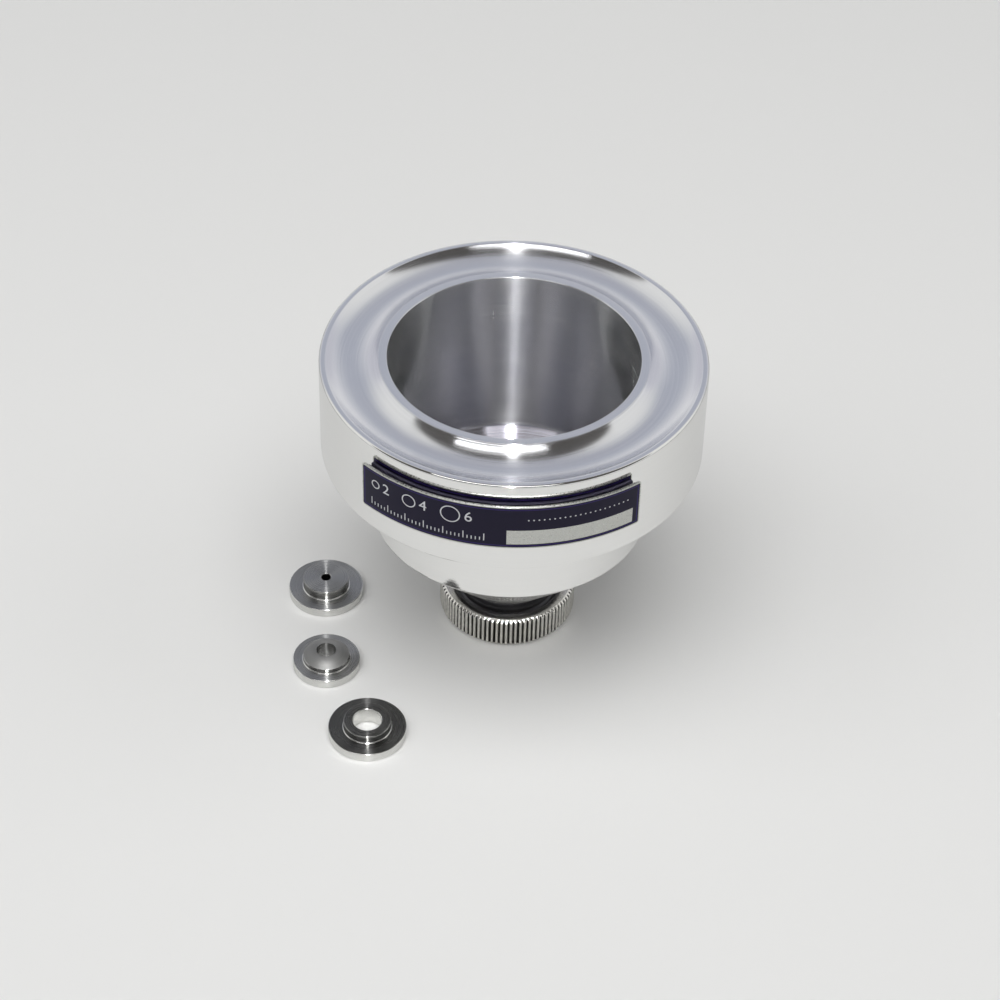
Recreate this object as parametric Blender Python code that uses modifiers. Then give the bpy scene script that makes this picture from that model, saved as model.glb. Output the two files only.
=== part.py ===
# Viscosity flow cup with a screwed nozzle nut and three loose nozzles.
# Metres, +Z up. The set stands on z = 0, with its box centred on the origin.

import bpy
import bmesh
from math import atan2, cos, hypot, pi, radians, sin, tan

PART_NAME = "viscosity_flow_cup"

# Clearance between pieces that touch, and between sliding or screwed fits
SEAT_GAP = 0.0003

# Cup: bore, cone and outlet
BORE_RADIUS = 0.0250
BORE_DEPTH = 0.0390
CONE_HALF_ANGLE = radians(45.0)
OUTLET_LENGTH = 0.0037

# Cup: rim land, overflow gallery and lip
LAND_WIDTH = 0.0018
LAND_STEP = 0.00025
GALLERY_WIDTH = 0.0103
GALLERY_DEPTH = 0.0021
LIP_WIDTH = 0.0010
LIP_DROP = 0.0004

# Cup: outer wall, barrel and conical underside
WALL_DEPTH = 0.0214
BARREL_WALL = 0.00335
BARREL_DEPTH = 0.03865
SHOULDER_WIDTH = 0.0015
SHOULDER_GAP = 0.0011
EDGE_CHAMFER = 0.0003
WALL_FILLET = 0.0006

# Screw thread between spigot and nut
THREAD_RADIUS = 0.0105
THREAD_RELIEF = 0.0009
THREAD_CHAMFER = 0.0004

# Knurled nut
NUT_WEB = 0.0015
NUT_WALL = 0.0028
NUT_HEIGHT = 0.0069
NUT_COUNTERSINK = 0.0010
NUT_MOUTH_RADIUS = 0.0056
NUT_MOUTH_CHAMFER = 0.0004
NUT_EDGE_CHAMFER = 0.0005
KNURL_DEPTH = 0.00055
KNURL_COUNT = 88

# Nozzles
BOSS_RADIUS = 0.0048
NOZZLE_CHAMFER = 0.0002
FITTED_FLANGE_RADIUS = 0.0078
FITTED_FLANGE_THICKNESS = 0.0019
FITTED_BOSS_HEIGHT = 0.0022
FITTED_HOLE_RADIUS = 0.0025

# Sealing ring round the fitted nozzle's boss
SEAL_WIDTH = 0.0015
SEAL_THICKNESS = 0.0007

# Loose nozzles: hole, flange and boss of each, and how far its flange lies from the barrel
LOOSE_FLANGE_THICKNESS = 0.0020
SMALL_HOLE_RADIUS = 0.0010
SMALL_FLANGE_RADIUS = 0.0078
SMALL_BOSS_HEIGHT = 0.0022
SMALL_REACH = 0.0022
SMALL_AZIMUTH = radians(178.7)
MIDDLE_HOLE_RADIUS = 0.0020
MIDDLE_FLANGE_RADIUS = 0.0069
MIDDLE_BOSS_HEIGHT = 0.0008
MIDDLE_CROWN = 0.0014
MIDDLE_REACH = 0.0071
MIDDLE_AZIMUTH = radians(209.4)
LARGE_HOLE_RADIUS = 0.0029
LARGE_FLANGE_RADIUS = 0.0079
LARGE_BOSS_HEIGHT = 0.0018
LARGE_REACH = 0.0121
LARGE_AZIMUTH = radians(235.4)
LOOSE_NOZZLES = (
    {"name": "nozzle_2mm", "hole": SMALL_HOLE_RADIUS, "flange": SMALL_FLANGE_RADIUS,
     "boss": SMALL_BOSS_HEIGHT, "crown": 0.0, "reach": SMALL_REACH, "azimuth": SMALL_AZIMUTH},
    {"name": "nozzle_4mm", "hole": MIDDLE_HOLE_RADIUS, "flange": MIDDLE_FLANGE_RADIUS,
     "boss": MIDDLE_BOSS_HEIGHT, "crown": MIDDLE_CROWN, "reach": MIDDLE_REACH, "azimuth": MIDDLE_AZIMUTH},
    {"name": "nozzle_6mm", "hole": LARGE_HOLE_RADIUS, "flange": LARGE_FLANGE_RADIUS,
     "boss": LARGE_BOSS_HEIGHT, "crown": 0.0, "reach": LARGE_REACH, "azimuth": LARGE_AZIMUTH},
)

# Label plate and its tape, on the wall's front
LABEL_AZIMUTH = radians(-93.6)
LABEL_SPAN = radians(83.0)
LABEL_HEIGHT = 0.0104
LABEL_DROP = 0.0041
LABEL_THICKNESS = 0.0005
LABEL_CORNER = 0.0006
TAPE_THICKNESS = 0.0006
TAPE_INSET = 0.0010
TAPE_CORNER = 0.0003

# Facets
CUP_STEPS = 96
NOZZLE_STEPS = 40
GALLERY_FACETS = 8
CROWN_FACETS = 4
FILLET_FACETS = 2
LABEL_FACETS = 18
SHARP_ANGLE = radians(30.0)
MERGE_DISTANCE = 0.00001

# Heights, from the standing face of the nut upwards
FLANGE_BASE_Z = NUT_WEB + SEAT_GAP
FLANGE_TOP_Z = FLANGE_BASE_Z + FITTED_FLANGE_THICKNESS
SPIGOT_END_Z = FLANGE_TOP_Z + SEAT_GAP
OUTLET_TOP_Z = SPIGOT_END_Z + OUTLET_LENGTH
SHOULDER_Z = NUT_HEIGHT + SHOULDER_GAP

# Radii that follow from a neighbour
OUTLET_RADIUS = BOSS_RADIUS + SEAT_GAP
SEAL_INNER_RADIUS = BOSS_RADIUS + SEAT_GAP
SEAL_OUTER_RADIUS = SEAL_INNER_RADIUS + SEAL_WIDTH
NUT_BORE_RADIUS = THREAD_RADIUS + SEAT_GAP
POCKET_RADIUS = FITTED_FLANGE_RADIUS + SEAT_GAP
KNURL_RADIUS = NUT_BORE_RADIUS + NUT_WALL + KNURL_DEPTH
LAND_RADIUS = BORE_RADIUS + LAND_WIDTH
LIP_RADIUS = LAND_RADIUS + GALLERY_WIDTH
WALL_RADIUS = LIP_RADIUS + LIP_WIDTH + EDGE_CHAMFER
BARREL_RADIUS = BORE_RADIUS + BARREL_WALL
TAPE_RADIUS = WALL_RADIUS + SEAT_GAP
PLATE_RADIUS = TAPE_RADIUS + TAPE_THICKNESS + SEAT_GAP

CONE_TOP_Z = OUTLET_TOP_Z + (BORE_RADIUS - OUTLET_RADIUS) / tan(CONE_HALF_ANGLE)
RIM_Z = CONE_TOP_Z + BORE_DEPTH
LABEL_MID_Z = RIM_Z - LABEL_DROP - LABEL_HEIGHT / 2


def remove_old_objects():
    for old in list(bpy.data.objects):
        bpy.data.objects.remove(old, do_unlink=True)


def make_collection(name):
    collection = bpy.data.collections.new(name)
    bpy.context.scene.collection.children.link(collection)
    return collection


def make_material(name, color, metallic, roughness):
    material = bpy.data.materials.new(name)
    material.use_nodes = True
    shader = material.node_tree.nodes["Principled BSDF"]
    shader.inputs["Base Color"].default_value = (*color, 1.0)
    shader.inputs["Metallic"].default_value = metallic
    shader.inputs["Roughness"].default_value = roughness
    return material


def add_object(collection, name, mesh, material, location, parent=None):
    mesh.materials.append(material)
    mesh.shade_smooth()
    mesh.set_sharp_from_angle(angle=SHARP_ANGLE)
    piece = bpy.data.objects.new(name, mesh)
    piece.location = location
    piece.parent = parent
    collection.objects.link(piece)
    return piece


def add_empty(collection, name, location, parent=None):
    empty = bpy.data.objects.new(name, None)
    empty.empty_display_size = 0.01
    empty.location = location
    empty.parent = parent
    collection.objects.link(empty)
    return empty


def profile_mesh(name, profile):
    # A closed loop of points at +X, which runs down its outer side
    points = [(radius, 0.0, height) for radius, height in profile]
    edges = [(index, (index + 1) % len(points)) for index in range(len(points))]
    mesh = bpy.data.meshes.new(name)
    mesh.from_pydata(points, edges, [])
    return mesh


def turned_piece(collection, name, profile, steps, material, location, parent=None):
    piece = add_object(collection, name, profile_mesh(name, profile), material, location, parent)
    screw = piece.modifiers.new("Turned", "SCREW")
    screw.axis = "Z"
    screw.angle = 2 * pi
    screw.steps = steps
    screw.render_steps = steps
    screw.use_merge_vertices = True
    screw.merge_threshold = MERGE_DISTANCE
    screw.use_smooth_shade = True
    return piece


def arc_points(start, end, depth, facets):
    # Points inside a circular arc that sags by depth under the chord from start to end
    width = end[0] - start[0]
    radius = (width * width / 4 + depth * depth) / (2 * depth)
    half_angle = atan2(width / 2, radius - depth)
    middle = (start[0] + end[0]) / 2
    points = []
    for index in range(1, facets):
        angle = half_angle * (2 * index / facets - 1)
        slope = start[1] + (end[1] - start[1]) * index / facets
        points.append((middle + radius * sin(angle), slope + (radius - depth) - radius * cos(angle)))
    return points


def corner_points(corner, radius, start_angle, end_angle, facets):
    # Quarter round about a centre, both ends included
    points = []
    for index in range(facets + 1):
        angle = start_angle + (end_angle - start_angle) * index / facets
        points.append((corner[0] + radius * cos(angle), corner[1] + radius * sin(angle)))
    return points


def outer_wall_profile():
    lip_z = RIM_Z - LIP_DROP
    wall_base_z = RIM_Z - WALL_DEPTH
    fillet_centre = (BARREL_RADIUS + WALL_FILLET, wall_base_z - WALL_FILLET)
    points = [
        (WALL_RADIUS - EDGE_CHAMFER, lip_z),
        (WALL_RADIUS, lip_z - EDGE_CHAMFER),
        (WALL_RADIUS, wall_base_z + EDGE_CHAMFER),
        (WALL_RADIUS - EDGE_CHAMFER, wall_base_z),
    ]
    points += corner_points(fillet_centre, WALL_FILLET, radians(90), radians(180), FILLET_FACETS)
    return points


def underside_profile():
    barrel_base_z = RIM_Z - BARREL_DEPTH
    relief_radius = THREAD_RADIUS - THREAD_RELIEF
    thread_top_z = NUT_HEIGHT - NUT_COUNTERSINK
    return [
        (BARREL_RADIUS, barrel_base_z + EDGE_CHAMFER),
        (BARREL_RADIUS - EDGE_CHAMFER, barrel_base_z),
        (THREAD_RADIUS + SHOULDER_WIDTH, SHOULDER_Z),
        (relief_radius, SHOULDER_Z),
        (relief_radius, thread_top_z + THREAD_RELIEF),
        (THREAD_RADIUS, thread_top_z),
        (THREAD_RADIUS, SPIGOT_END_Z + THREAD_CHAMFER),
        (THREAD_RADIUS - THREAD_CHAMFER, SPIGOT_END_Z),
    ]


def inner_profile():
    recess_radius = SEAL_OUTER_RADIUS + SEAT_GAP
    recess_top_z = SPIGOT_END_Z + SEAL_THICKNESS + SEAT_GAP
    return [
        (recess_radius, SPIGOT_END_Z),
        (recess_radius, recess_top_z),
        (OUTLET_RADIUS, recess_top_z),
        (OUTLET_RADIUS, OUTLET_TOP_Z),
        (BORE_RADIUS, CONE_TOP_Z),
        (BORE_RADIUS, RIM_Z),
    ]


def gallery_profile():
    gallery_start = (LAND_RADIUS, RIM_Z - LAND_STEP)
    gallery_end = (LIP_RADIUS, RIM_Z - LIP_DROP)
    points = [(LAND_RADIUS, RIM_Z), gallery_start]
    points += arc_points(gallery_start, gallery_end, GALLERY_DEPTH, GALLERY_FACETS)
    points.append(gallery_end)
    return points


def cup_profile():
    return outer_wall_profile() + underside_profile() + inner_profile() + gallery_profile()


def nut_profile():
    mouth_outer = NUT_MOUTH_RADIUS + NUT_MOUTH_CHAMFER
    edge_radius = KNURL_RADIUS - KNURL_DEPTH - NUT_EDGE_CHAMFER / 2
    return [
        (edge_radius, NUT_HEIGHT),
        (KNURL_RADIUS, NUT_HEIGHT - NUT_EDGE_CHAMFER),
        (KNURL_RADIUS, NUT_EDGE_CHAMFER),
        (edge_radius, 0.0),
        (mouth_outer, 0.0),
        (NUT_MOUTH_RADIUS, NUT_MOUTH_CHAMFER),
        (NUT_MOUTH_RADIUS, NUT_WEB),
        (POCKET_RADIUS, NUT_WEB),
        (POCKET_RADIUS, FLANGE_TOP_Z),
        (NUT_BORE_RADIUS, FLANGE_TOP_Z),
        (NUT_BORE_RADIUS, NUT_HEIGHT - NUT_COUNTERSINK),
        (NUT_BORE_RADIUS + NUT_COUNTERSINK, NUT_HEIGHT),
    ]


def nozzle_profile(flange_radius, flange_thickness, boss_height, hole_radius, crown=0.0):
    # The boss ends flat, or in a dome that rises by crown from its rim to the hole
    rim_radius = BOSS_RADIUS - NOZZLE_CHAMFER
    mouth_radius = hole_radius + NOZZLE_CHAMFER
    rim_z = flange_thickness + boss_height
    top_z = rim_z + crown
    dome = []
    for index in range(1, CROWN_FACETS if crown else 1):
        share = index / CROWN_FACETS
        radius = mouth_radius + (rim_radius - mouth_radius) * share
        dome.append((radius, top_z - crown * share * share))
    return dome + [
        (rim_radius, rim_z),
        (BOSS_RADIUS, rim_z - NOZZLE_CHAMFER),
        (BOSS_RADIUS, flange_thickness),
        (flange_radius - NOZZLE_CHAMFER, flange_thickness),
        (flange_radius, flange_thickness - NOZZLE_CHAMFER),
        (flange_radius, NOZZLE_CHAMFER),
        (flange_radius - NOZZLE_CHAMFER, 0.0),
        (mouth_radius, 0.0),
        (hole_radius, NOZZLE_CHAMFER),
        (hole_radius, top_z - NOZZLE_CHAMFER),
        (mouth_radius, top_z),
    ]


def seal_profile():
    return [
        (SEAL_OUTER_RADIUS, SEAL_THICKNESS),
        (SEAL_OUTER_RADIUS, 0.0),
        (SEAL_INNER_RADIUS, 0.0),
        (SEAL_INNER_RADIUS, SEAL_THICKNESS),
    ]


def knurled_nut(collection, name, material, location, parent):
    # Spun with two columns of points per ridge, and every other column pulled in to the groove
    columns = 2 * KNURL_COUNT
    shape = bmesh.new()
    loop = [shape.verts.new((radius, 0.0, height)) for radius, height in nut_profile()]
    edges = [shape.edges.new((loop[index - 1], loop[index])) for index in range(len(loop))]
    bmesh.ops.spin(
        shape, geom=loop + edges, cent=(0, 0, 0), axis=(0, 0, 1), dvec=(0, 0, 0),
        angle=2 * pi, steps=columns, use_merge=True, use_normal_flip=False, use_duplicate=False,
    )
    groove_scale = (KNURL_RADIUS - KNURL_DEPTH) / KNURL_RADIUS
    for vertex in shape.verts:
        column = round(atan2(vertex.co.y, vertex.co.x) / (2 * pi / columns))
        on_knurl = hypot(vertex.co.x, vertex.co.y) > KNURL_RADIUS - MERGE_DISTANCE
        if on_knurl and column % 2:
            vertex.co.x *= groove_scale
            vertex.co.y *= groove_scale
    bmesh.ops.recalc_face_normals(shape, faces=shape.faces)
    mesh = bpy.data.meshes.new(name)
    shape.to_mesh(mesh)
    shape.free()
    return add_object(collection, name, mesh, material, location, parent)


def curved_plate(collection, name, radius, thickness, width, height, corner, material, parent):
    # A flat sheet with round corners, wrapped on the wall's cylinder and then thickened outwards
    sheet = bmesh.new()
    bmesh.ops.create_grid(sheet, x_segments=LABEL_FACETS, y_segments=1, size=0.5)
    corners = [vertex for vertex in sheet.verts if abs(vertex.co.x) > 0.499]
    for vertex in sheet.verts:
        vertex.co.x *= width
        vertex.co.y *= height
    bmesh.ops.bevel(
        sheet, geom=corners, offset=corner, offset_type="OFFSET", segments=2,
        affect="VERTICES", profile=0.5, material=-1,
    )
    for vertex in sheet.verts:
        angle = LABEL_AZIMUTH + vertex.co.x / radius
        vertex.co = (radius * cos(angle), radius * sin(angle), vertex.co.y)
    bmesh.ops.recalc_face_normals(sheet, faces=sheet.faces)
    mesh = bpy.data.meshes.new(name)
    sheet.to_mesh(mesh)
    sheet.free()
    plate = add_object(collection, name, mesh, material, (0, 0, LABEL_MID_Z), parent)
    solidify = plate.modifiers.new("Thickness", "SOLIDIFY")
    solidify.thickness = thickness
    solidify.offset = 1.0
    return plate


def loose_place(nozzle):
    distance = BARREL_RADIUS + nozzle["reach"] + nozzle["flange"]
    return distance * cos(nozzle["azimuth"]), distance * sin(nozzle["azimuth"])


def cup_axis_place():
    # The cup's axis stands where the box round the whole set has its centre on the origin
    discs = [(*loose_place(nozzle), nozzle["flange"]) for nozzle in LOOSE_NOZZLES]
    plate_outer = PLATE_RADIUS + LABEL_THICKNESS
    left = min([-WALL_RADIUS] + [x - radius for x, y, radius in discs])
    right = WALL_RADIUS
    front = min([-plate_outer] + [y - radius for x, y, radius in discs])
    back = WALL_RADIUS
    return -(left + right) / 2, -(front + back) / 2


def build():
    remove_old_objects()
    collection = make_collection(PART_NAME)

    polished = make_material("polished_cup", (0.78, 0.78, 0.77), 1.0, 0.12)
    nickel = make_material("knurled_nickel", (0.62, 0.61, 0.58), 1.0, 0.25)
    steel = make_material("turned_steel", (0.50, 0.50, 0.49), 1.0, 0.22)
    rubber = make_material("black_rubber", (0.02, 0.02, 0.02), 0.0, 0.6)
    plate = make_material("label_black", (0.012, 0.010, 0.035), 0.0, 0.35)
    foam = make_material("tape_foam", (0.02, 0.018, 0.035), 0.0, 0.8)

    axis_x, axis_y = cup_axis_place()
    axis = add_empty(collection, "cup_axis", (axis_x, axis_y, 0))
    turned_piece(collection, "cup_body", cup_profile(), CUP_STEPS, polished, (0, 0, 0), axis)
    curved_plate(
        collection, "label_tape", TAPE_RADIUS, TAPE_THICKNESS,
        LABEL_SPAN * PLATE_RADIUS - 2 * TAPE_INSET, LABEL_HEIGHT - 2 * TAPE_INSET, TAPE_CORNER, foam, axis,
    )
    curved_plate(
        collection, "label_plate", PLATE_RADIUS, LABEL_THICKNESS,
        LABEL_SPAN * PLATE_RADIUS, LABEL_HEIGHT, LABEL_CORNER, plate, axis,
    )

    # The nozzle, its seal and the nut come down together, and the nut turns about the cup's axis
    carriage = add_empty(collection, "nozzle_carriage", (0, 0, 0), axis)
    fitted = nozzle_profile(
        FITTED_FLANGE_RADIUS, FITTED_FLANGE_THICKNESS, FITTED_BOSS_HEIGHT, FITTED_HOLE_RADIUS
    )
    turned_piece(
        collection, "fitted_nozzle", fitted, NOZZLE_STEPS, steel, (0, 0, FLANGE_BASE_Z), carriage
    )
    turned_piece(
        collection, "nozzle_seal", seal_profile(), NOZZLE_STEPS, rubber, (0, 0, SPIGOT_END_Z), carriage
    )
    knurled_nut(collection, "nozzle_nut", nickel, (0, 0, 0), carriage)

    for nozzle in LOOSE_NOZZLES:
        place_x, place_y = loose_place(nozzle)
        profile = nozzle_profile(
            nozzle["flange"], LOOSE_FLANGE_THICKNESS, nozzle["boss"], nozzle["hole"], nozzle["crown"]
        )
        location = (axis_x + place_x, axis_y + place_y, 0)
        turned_piece(collection, nozzle["name"], profile, NOZZLE_STEPS, steel, location)


build()
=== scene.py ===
# A polished flow cup standing on its knurled nozzle nut, with three loose nozzles beside it.
# Metres, +Z up. The cup's axis and outer radius and the nozzles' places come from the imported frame.

import bpy
import bmesh
import random
from math import atan2, cos, hypot, pi, radians, sin, tan
from mathutils import Matrix, Vector


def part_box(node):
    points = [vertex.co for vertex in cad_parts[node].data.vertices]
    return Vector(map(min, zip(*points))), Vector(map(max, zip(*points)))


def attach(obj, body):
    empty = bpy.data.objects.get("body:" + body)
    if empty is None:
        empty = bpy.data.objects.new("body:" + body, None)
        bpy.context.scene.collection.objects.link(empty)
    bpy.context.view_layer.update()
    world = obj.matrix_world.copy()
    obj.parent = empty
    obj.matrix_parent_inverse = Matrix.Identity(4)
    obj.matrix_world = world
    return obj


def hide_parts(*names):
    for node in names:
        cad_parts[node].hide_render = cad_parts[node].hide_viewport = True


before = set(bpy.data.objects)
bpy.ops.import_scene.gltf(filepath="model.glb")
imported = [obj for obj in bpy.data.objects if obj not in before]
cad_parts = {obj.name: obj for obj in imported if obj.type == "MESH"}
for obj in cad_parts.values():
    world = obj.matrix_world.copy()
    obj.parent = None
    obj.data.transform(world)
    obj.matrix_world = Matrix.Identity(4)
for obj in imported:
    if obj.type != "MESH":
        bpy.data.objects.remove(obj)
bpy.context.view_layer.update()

mm = 0.001


# Places that the frame gives

def nodeAxis(node):
    low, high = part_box(node)
    return Vector(((low.x + high.x) / 2, (low.y + high.y) / 2, 0.0))


def nodeRadius(node):
    low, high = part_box(node)
    return (high.x - low.x) / 2


cupAxis = nodeAxis("cup_body")
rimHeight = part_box("cup_body")[1].z
wallRadius = nodeRadius("cup_body")


# Small helpers for shader nodes

def addNode(tree, kind, links=(), **values):
    # links gives each input, by its name or number, an output socket or a plain value
    node = tree.nodes.new(kind)
    for key, value in values.items():
        setattr(node, key, value)
    for key, value in dict(links).items():
        if isinstance(value, bpy.types.NodeSocket):
            tree.links.new(value, node.inputs[key])
        else:
            node.inputs[key].default_value = value
    return node


def addMath(tree, operation, first, second=0.0, third=0.0):
    return addNode(tree, "ShaderNodeMath", {0: first, 1: second, 2: third}, operation=operation).outputs[0]


def addRange(tree, value, fromLow, fromHigh, toLow=0.0, toHigh=1.0, smooth=False):
    kind = "SMOOTHSTEP" if smooth else "LINEAR"
    links = {"Value": value, "From Min": fromLow, "From Max": fromHigh, "To Min": toLow, "To Max": toHigh}
    return addNode(tree, "ShaderNodeMapRange", links, interpolation_type=kind).outputs[0]


def addMix(tree, factor, first, second):
    node = addNode(tree, "ShaderNodeMix", {0: factor, 6: first, 7: second}, data_type="RGBA")
    return node.outputs[2]


def newGroup(name, inputs, outputs):
    group = bpy.data.node_groups.new(name, "ShaderNodeTree")
    for socketName, kind, value in inputs:
        socket = group.interface.new_socket(socketName, in_out="INPUT", socket_type=kind)
        if value is not None:
            socket.default_value = value
    for socketName, kind in outputs:
        group.interface.new_socket(socketName, in_out="OUTPUT", socket_type=kind)
    return group, group.nodes.new("NodeGroupInput").outputs, group.nodes.new("NodeGroupOutput").inputs


toolMarks = {
    "detail": 3.0, "roughness": 0.65,
    "ringStretch": (0.37, 0.37, 0.8), "ringDetail": 2.0, "ringRoughness": 0.8, "ringMask": (0.56, 0.74),
}


def latheMarksGroup():
    # Circular tool marks about Z, which fade in and out slowly round each turn, and a few deeper rings
    group, given, made = newGroup(
        "latheMarks",
        [("Place", "NodeSocketVector", None), ("Lines", "NodeSocketFloat", 9000.0),
         ("Drift", "NodeSocketFloat", 0.6)],
        [("Marks", "NodeSocketFloat"), ("Rings", "NodeSocketFloat")],
    )
    parts = addNode(group, "ShaderNodeSeparateXYZ", {0: given["Place"]})
    flat = addNode(group, "ShaderNodeCombineXYZ", {0: parts.outputs[0], 1: parts.outputs[1]})
    radius = addNode(group, "ShaderNodeVectorMath", {0: flat.outputs[0]}, operation="LENGTH").outputs["Value"]
    around = addNode(group, "ShaderNodeVectorMath", {0: flat.outputs[0]}, operation="NORMALIZE")
    turn = addNode(group, "ShaderNodeSeparateXYZ", {0: around.outputs[0]})
    across = addMath(group, "MULTIPLY", radius, given["Lines"])
    along = addMath(group, "MULTIPLY", parts.outputs[2], given["Lines"])
    slow = addMath(group, "MULTIPLY", turn.outputs[0], given["Drift"])
    slower = addMath(group, "MULTIPLY", turn.outputs[1], given["Drift"])
    spot = addNode(group, "ShaderNodeCombineXYZ", {0: across, 1: along, 2: slow})
    noise = addNode(
        group, "ShaderNodeTexNoise",
        {"Vector": spot.outputs[0], "W": slower, "Scale": 1.0,
         "Detail": toolMarks["detail"], "Roughness": toolMarks["roughness"]},
        noise_dimensions="4D",
    )
    wider = addNode(
        group, "ShaderNodeVectorMath", {0: spot.outputs[0], 1: toolMarks["ringStretch"]}, operation="MULTIPLY",
    )
    deep = addNode(
        group, "ShaderNodeTexNoise",
        {"Vector": wider.outputs[0], "W": slower, "Scale": 1.0,
         "Detail": toolMarks["ringDetail"], "Roughness": toolMarks["ringRoughness"]},
        noise_dimensions="4D",
    )
    group.links.new(noise.outputs[0], made["Marks"])
    group.links.new(addRange(group, deep.outputs[0], *toolMarks["ringMask"]), made["Rings"])
    return group


handling = {
    "cloudSize": 90.0, "cloudDetail": 4.0, "cloudRoughness": 0.55, "cloudDistortion": 0.6, "cloudMask": (0.35, 0.70),
    "scratchTurn": (0.4, 0.9, 0.3), "scratchScale": (1500.0, 60.0, 60.0), "scratchMask": (0.74, 0.80),
}


def handlingGroup():
    # Faint wiping clouds and a few fine scratches
    group, given, made = newGroup(
        "handlingMarks",
        [("Place", "NodeSocketVector", None), ("Size", "NodeSocketFloat", handling["cloudSize"])],
        [("Cloud", "NodeSocketFloat"), ("Scratch", "NodeSocketFloat")],
    )
    cloud = addNode(
        group, "ShaderNodeTexNoise",
        {"Vector": given["Place"], "Scale": given["Size"], "Detail": handling["cloudDetail"],
         "Roughness": handling["cloudRoughness"], "Distortion": handling["cloudDistortion"]},
    )
    stretch = addNode(
        group, "ShaderNodeMapping",
        {"Vector": given["Place"], "Rotation": handling["scratchTurn"], "Scale": handling["scratchScale"]},
    )
    fine = addNode(group, "ShaderNodeTexNoise", {"Vector": stretch.outputs[0], "Scale": 1.0, "Detail": 1.0})
    group.links.new(addRange(group, cloud.outputs[0], *handling["cloudMask"], smooth=True), made["Cloud"])
    group.links.new(addRange(group, fine.outputs[0], *handling["scratchMask"]), made["Scratch"])
    return group


lathe = latheMarksGroup()
handled = handlingGroup()


def startMaterial(name, metallic, anisotropic=0.0):
    # A quarter turn spreads the gloss across the tool marks
    material = bpy.data.materials.new(name)
    material.use_nodes = True
    tree = material.node_tree
    shader = tree.nodes["Principled BSDF"]
    shader.inputs["Metallic"].default_value = metallic
    shader.inputs["Anisotropic"].default_value = anisotropic
    shader.inputs["Anisotropic Rotation"].default_value = 0.25 if anisotropic else 0.0
    return material, tree, shader


def centredPlace(tree, centre):
    # Object coordinates measured from the piece's own turning axis
    place = addNode(tree, "ShaderNodeTexCoord").outputs["Object"]
    shift = (-centre.x, -centre.y, -centre.z)
    return addNode(tree, "ShaderNodeMapping", {"Vector": place, "Location": shift}).outputs[0]


def turnedMetal(name, centre, look):
    # color and shade are its two tones, rough and roughSpread its gloss, lines how many tool marks a metre,
    # grain their depth, rings how much deeper the odd one is, drift how fast they change round a turn,
    # and smudge how much wiping and scratches dull it
    material, tree, shader = startMaterial(name, 1.0, look["anisotropic"])
    place = centredPlace(tree, centre)
    marks = addNode(
        tree, "ShaderNodeGroup", {"Place": place, "Lines": look["lines"], "Drift": look["drift"]}, node_tree=lathe,
    )
    wear = addNode(tree, "ShaderNodeGroup", {"Place": place}, node_tree=handled)
    spread = addRange(
        tree, marks.outputs["Marks"], 0.3, 0.7,
        look["rough"] - look["roughSpread"], look["rough"] + look["roughSpread"],
    )
    wiped = addMath(tree, "MULTIPLY", wear.outputs["Cloud"], look["smudge"])
    scratched = addMath(tree, "MULTIPLY", wear.outputs["Scratch"], look["smudge"])
    rough = addMath(tree, "ADD", addMath(tree, "ADD", spread, wiped), scratched)
    tree.links.new(rough, shader.inputs["Roughness"])
    tone = addRange(tree, marks.outputs["Marks"], 0.25, 0.75)
    tree.links.new(addMix(tree, tone, (*look["shade"], 1.0), (*look["color"], 1.0)), shader.inputs["Base Color"])
    height = addMath(tree, "MULTIPLY_ADD", marks.outputs["Rings"], look["rings"], marks.outputs["Marks"])
    bump = addNode(tree, "ShaderNodeBump", {"Height": height, "Distance": look["grain"]})
    tree.links.new(bump.outputs[0], shader.inputs["Normal"])
    return material


# Turned pieces: an outline at +X is rounded at its corners and spun about the piece's axis

weldDistance = 0.0005 * mm


def arcPoints(start, end, depth, facets):
    # Points of a round arc that sags by depth under the line from start to end
    width = end[0] - start[0]
    radius = (width * width / 4 + depth * depth) / (2 * depth)
    half = atan2(width / 2, radius - depth)
    points = []
    for index in range(1, facets):
        angle = half * (2 * index / facets - 1)
        level = start[1] + (end[1] - start[1]) * index / facets
        across = (start[0] + end[0]) / 2 + radius * sin(angle)
        points.append((across, level + radius - depth - radius * cos(angle), 0))
    return points


def spinOutline(outline, steps, segments=4):
    # outline gives the radius, height and corner rounding of each point, as one closed loop
    # One eighth is spun and then doubled three times, because a long spin is slow
    shape = bmesh.new()
    loop = [shape.verts.new((radius, 0.0, height)) for radius, height, rounding in outline]
    for index in range(len(loop)):
        shape.edges.new((loop[index - 1], loop[index]))
    for vertex, (radius, height, rounding) in zip(loop, outline):
        if rounding:
            bmesh.ops.bevel(
                shape, geom=[vertex], offset=rounding, offset_type="OFFSET", segments=segments,
                profile=0.5, affect="VERTICES", material=-1,
            )
    bmesh.ops.spin(
        shape, geom=shape.verts[:] + shape.edges[:], cent=(0, 0, 0), axis=(0, 0, 1), dvec=(0, 0, 0),
        angle=pi / 4, steps=steps // 8, use_merge=False, use_normal_flip=False, use_duplicate=False,
    )
    for angle in (pi / 4, pi / 2, pi):
        twin = bmesh.ops.duplicate(shape, geom=shape.verts[:] + shape.edges[:] + shape.faces[:])
        moved = [item for item in twin["geom"] if isinstance(item, bmesh.types.BMVert)]
        bmesh.ops.rotate(shape, verts=moved, cent=(0, 0, 0), matrix=Matrix.Rotation(angle, 3, "Z"))
    bmesh.ops.remove_doubles(shape, verts=shape.verts[:], dist=weldDistance)
    bmesh.ops.recalc_face_normals(shape, faces=shape.faces[:])
    return shape


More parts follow.
